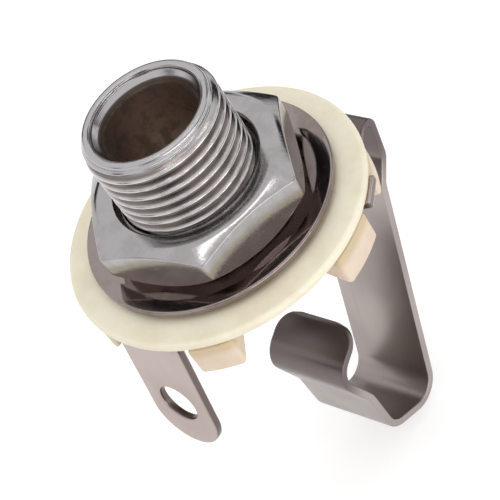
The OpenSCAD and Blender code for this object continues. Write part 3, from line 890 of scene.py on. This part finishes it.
def solder_lug(ring_r, level, length):
    """A lug on the -Y side of a ring: out, folded back and pierced, as a grid and its flat places.

    Each ray runs out on one face, round the outer edge, back on the other face and round the hole's rim.
    """
    back = -np.array([np.sin(lug_splay), np.cos(lug_splay)])
    fold = np.array([-lug_reach, level])
    line, normals, s = bent_line([[lug_lap - ring_r, level], fold, fold + back * length], [fold_r])
    hole_s = s[-1] - hole_from_end
    angle = np.linspace(0, 2 * np.pi, RAYS, endpoint=False)[:, None]
    outer, e = lug_outline(angle, hole_s, s[-1]), SHEET_EDGE
    run = np.linspace(0, 1, RAY_STEPS)
    bend = np.linspace(np.pi / 2, -np.pi / 2, RIM_STEPS + 2)[1:-1]
    share = np.concatenate([run, 1 + 0 * bend, run[::-1], 0 * bend])
    bulge = np.concatenate([0 * run, np.cos(bend), 0 * run, -np.cos(bend)])
    lift = np.concatenate([1 + 0 * run, np.sin(bend), -1 + 0 * run, -np.sin(bend)])
    side = np.sign(np.round(lift, 6))
    rho = (1 - share) * (lug_hole_r + e) + share * (outer - e) + e * bulge
    n = np.broadcast_to(side * (sheet_t / 2 - e) + e * lift, rho.shape)
    flat_s, flat_x = hole_s + rho * np.cos(angle), rho * np.sin(angle)
    y, z, ny, nz = (np.interp(flat_s, s, column) for column in (*line.T, *normals.T))
    points = np.stack([flat_x, y + n * ny, z + n * nz], axis=-1)
    return points, np.stack([flat_s, flat_x, n], axis=-1)


print("a lug has", RAYS, "rays of", 2 * (RAY_STEPS + RIM_STEPS), "points")

# %% [markdown]
# ## The sleeve terminal
# A ring pressed against the bush's shoulder, one lug, and two ears that key it in the moulding.
# The ring is a hair thinner than the lug, so that their faces don't lie in the same plane.

# %% Sleeve terminal
sleeve_ring_r, sleeve_lug_l = 7.6, 10.5
ear_half, ear_lap, ear_reach = 1.15, 0.8, lobe_r + 0.3  # half width, lap on the ring and end of an ear
ring_relief = 0.02  # how much thinner a ring is than its lug, on each face
sleeve_mid = disc_back - sheet_t / 2


def ear_width(s, _):
    """Half width along an ear, the same all along."""
    return np.full_like(s, ear_half)


def flat_ring(r_in, r_out, low, high):
    """The ring of a terminal. It isn't folded, so its flat places are its own y, x and level."""
    points = turned(rectangle(r_in, r_out, low + ring_relief, high - ring_relief, 0.08, 0.05))
    return points, True, points[..., [1, 0, 2]]


sleeve_lug, sleeve_flat = solder_lug(sleeve_ring_r, sleeve_mid, sleeve_lug_l)
ear, ear_flat = folded_strip([[sleeve_ring_r - ear_lap, sleeve_mid], [ear_reach, sleeve_mid]], [],
                             ear_width)
sleeve_grids = [flat_ring(tail_hole_r, sleeve_ring_r, sleeve_back, disc_back),
                (sleeve_lug, True, sleeve_flat)]
for angle in (ear_angle, 180 - ear_angle):
    sleeve_grids.append((spun(ear, angle - 90), False, ear_flat))
sleeve = new_piece("sleeve_terminal_sheet", sleeve_grids,
                   terminal_nickel, "sleeve_terminal")
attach(sleeve, "stack")

# %% [markdown]
# ## The tip spring
# One long strip makes the spring: a flared tab leaves the ring, folds down, kinks at a knee, runs down
# as the arm, turns up in a hook and ends in a hump that presses on the plug. The real one bends along
# its arm when a plug pushes the hump aside. Here the strip is one fixed shape, not joined to the stack.
# The ring and its lug stay with the stack.

# %% Tip spring
tip_ring_r, tip_hole_r, tip_lug_l = 6.2, 4.86, 8.6
tip_mid = (tip_front + tip_back) / 2
# Corners of the strip's middle line as (y, z), from the ring to the free end
tab_start, tab_bend = [5.0, tip_mid], [tip_ring_r + 0.8, tip_mid]
root_fold = np.array([12.25, -4.4])
knee_top, knee_low = root_fold - [0.54, 3.35], root_fold - [1.8, 5.05]
hook_corner = np.array([4.75, -28.2])
heel = hook_corner + [-4.7, 2.45]
hump = np.array([-1.6, -17.0])
leg_bend = [heel[0] - 0.2, (heel[1] + hump[1]) / 2]
free_end = hump + [3.709, 1.498]
spring_line = [tab_start, tab_bend, root_fold, knee_top, knee_low,
               hook_corner, heel, leg_bend, hump, free_end]
spring_bends = [fold_r, fold_r, 1.0, 1.0, 1.8, 1.9, 2.4, 1.6]  # radii from the tab's bend to the hump
spring_half, tab_half, free_round = 3.4, 4.2, 1.8
tab_rise, tab_narrow = 1.2, 1.75  # lengths over which the tab widens from the ring and narrows again
tab_end = 6.27  # distance along the strip at which it has narrowed to the arm


def spring_width(s, total):
    """Half width along the spring: a flared tab, an even arm and a free end with round corners."""
    flare = np.clip((tab_end - s) / tab_narrow, 0, 1)
    root = np.clip(s / tab_rise, 0, 1)
    half = spring_half + (tab_half - spring_half) * flare * root ** 0.5
    past = np.clip(s - (total - free_round), 0, free_round)
    return half - (free_round - np.sqrt(free_round ** 2 - past ** 2))


strip, strip_flat = folded_strip(spring_line, spring_bends, spring_width)
leaf = new_piece("tip_spring_leaf", [(strip, False, strip_flat)],
                 spring_nickel, "tip_spring")
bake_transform(leaf)

tip_lug, tip_flat = solder_lug(tip_ring_r, tip_mid, tip_lug_l)
tip_grids = [flat_ring(tip_hole_r, tip_ring_r, tip_back, tip_front),
             (spun(tip_lug, -90), True, tip_flat)]
tip_root = new_piece("tip_spring_root", tip_grids, spring_nickel, "tip_spring")
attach(tip_root, "stack")

# %% [markdown]
# ## The camera
# The picture looks down on the mouth from the front right, rolled so that the socket leans back.
# A camera's matrix has its right, up and back directions as columns, so it can be written directly.

# %% Camera
camera_place = Vector((66.714, -37.757, 69.156)) * MM
camera_right = (0.754, 0.5103, -0.4136)
camera_up = (-0.2066, 0.782, 0.5881)
camera_back = (0.6235, -0.3579, 0.695)

lens = bpy.data.cameras.new("portrait_lens")
lens.lens, lens.sensor_width = 115.2, 36.0
lens.clip_start, lens.clip_end = 0.005, 10.0
camera = bpy.data.objects.new("portrait_camera", lens)
bpy.context.scene.collection.objects.link(camera)
camera_turn = Matrix((camera_right, camera_up, camera_back)).transposed()
camera.matrix_world = Matrix.Translation(camera_place) @ camera_turn.to_4x4()
bpy.context.scene.camera = camera
print("camera at", tuple(round(part, 4) for part in camera_place), "m")

# %% [markdown]
# ## White surroundings
# Bright metal has no colour of its own to speak of: it shows what stands around it. The world is white
# to the eye and in reflections, and dimmer as a light, so that pale plastic keeps its colour.

# %% World
AMBIENT = 0.87  # strength of the world as a light


def seen_or_mirrored(tree):
    """1 for rays from the camera and for reflected or refracted ones, else 0."""
    path = add_node(tree, "LightPath").outputs
    either = math_node(tree, "MAXIMUM", path["Is Camera Ray"], path["Is Glossy Ray"])
    return math_node(tree, "MAXIMUM", either, path["Is Transmission Ray"])


def white_world():
    """A world that looks white and lights at a plain level."""
    world = bpy.data.worlds.new("white_tent")
    world.use_nodes = True
    tree = world.node_tree
    background = tree.nodes["Background"]
    feed(tree, background, "Color", (1, 1, 1, 1))
    feed(tree, background, "Strength", remap(tree, seen_or_mirrored(tree), 0.0, 1.0, AMBIENT, 1.0))
    return world


bpy.context.scene.world = white_world()
print("world:", bpy.context.scene.world.name)

# %% [markdown]
# ## The floor and the dark cards
# The floor is pale, keeps the socket's shadow and glows a little to the eye, so that it looks white.
# With white all round, the plate would look white too. Dark cards out of the picture give it its dark
# bands, as in a photographer's tent. Most stand where rays from the camera go once the lip and the
# washer's rim have mirrored them. Only reflections see them, so they take no light from the rest.

# %% Floor and cards
FLOOR_LEVEL, FLOOR_HALF = -29.0, 1500.0
FLOOR_GREY, FLOOR_GLOW = (0.75, 0.75, 0.75), 0.45
CARD_BLACK = (0.02, 0.018, 0.017)
CARD_DISTANCE = 240
CARDS = {  # direction from the socket, half width and half height
    "card_below_camera": ((0.942, -0.132, 0.309), 110, 30),
    "card_right_of_camera": ((0.722, 0.606, 0.334), 105, 34),
    "card_left_of_camera": ((0.413, -0.886, 0.208), 51, 45),
    "card_far_left": ((-0.43, -0.81, 0.4), 36, 27),
    "card_at_back": ((-0.25, 0.95, 0.017), 110, 40),
    "card_at_back_left": ((-0.85, 0.43, 0.29), 85, 42),
    "card_behind_lip": ((-0.045, 0.865, 0.5), 64, 34),
}


def flat_card(name, centre, across, upward, colour):
    """A flat rectangle of one colour, from its middle and its two half sides in millimetres."""
    signs = np.array([[-1, -1], [1, -1], [1, 1], [-1, 1]])
    corners = np.asarray(centre, float) + signs @ np.array([across, upward], float)
    mesh = bpy.data.meshes.new(name)
    mesh.from_pydata((corners * MM).tolist(), [], [[0, 1, 2, 3]])
    card = bpy.data.objects.new(name, mesh)
    bpy.context.scene.collection.objects.link(card)
    material = bpy.data.materials.new(name)
    material.use_nodes = True
    shader = material.node_tree.nodes["Principled BSDF"]
    settings = {"Base Color": (*colour, 1), "Roughness": 1.0, "Specular IOR Level": 0.0}
    feed_all(material.node_tree, shader, settings)
    mesh.materials.append(material)
    return card, material.node_tree, shader


def dark_card(name, toward, half_w, half_h):
    """A card that faces the socket from a direction, seen only in reflections."""
    toward = unit(np.array(toward, float))
    across = unit(np.cross([0, 0, 1], toward))
    upward = np.cross(toward, across)
    card, _, _ = flat_card(name, toward * CARD_DISTANCE, across * half_w, upward * half_h, CARD_BLACK)
    card.visible_camera = False
    card.visible_diffuse = False
    card.visible_shadow = False


_, floor_tree, floor_shader = flat_card("pale_floor", (0, 0, FLOOR_LEVEL), (FLOOR_HALF, 0, 0),
                                        (0, FLOOR_HALF, 0), FLOOR_GREY)
feed(floor_tree, floor_shader, "Emission Color", (1, 1, 1, 1))
feed(floor_tree, floor_shader, "Emission Strength",
     math_node(floor_tree, "MULTIPLY", seen_or_mirrored(floor_tree), FLOOR_GLOW))
for name, card in CARDS.items():
    dark_card(name, *card)
print("floor and", len(CARDS), "cards are in place")

# %% [markdown]
# ## The lamps
# The white surroundings give most of the light. A long, narrow soft box above draws the bright
# streaks along the nut's chamfer, and a soft shadow. Another one at the right, low down, lights up
# the crests of the thread. The Standard view shows each colour about as it is written.

# %% Lamps
def soft_box(name, place, run, width, length, watts):
    """A lamp at a place in millimetres that faces the socket, with its length along a direction."""
    lamp = bpy.data.lights.new(name, "AREA")
    lamp.shape, lamp.energy = "RECTANGLE", watts
    lamp.size, lamp.size_y = width * MM, length * MM
    box = bpy.data.objects.new(name, lamp)
    bpy.context.scene.collection.objects.link(box)
    away = unit(np.array(place, float))
    across = unit(np.cross(run, away))
    turn = Matrix(np.stack([across, np.cross(away, across), away], axis=1).tolist())
    box.matrix_world = Matrix.Translation(Vector(place) * MM) @ turn.to_4x4()
    print("lamp:", box.name, round(lamp.energy, 3), "W")


soft_box("strip_above", (45, 15, 320), run=(0.25, 0.95, 0.1), width=24, length=320, watts=0.1)
soft_box("strip_at_right", (226, -40, 16), run=(0.17, 0.98, 0), width=50, length=260, watts=0.14)
bpy.context.scene.view_settings.view_transform = "Standard"
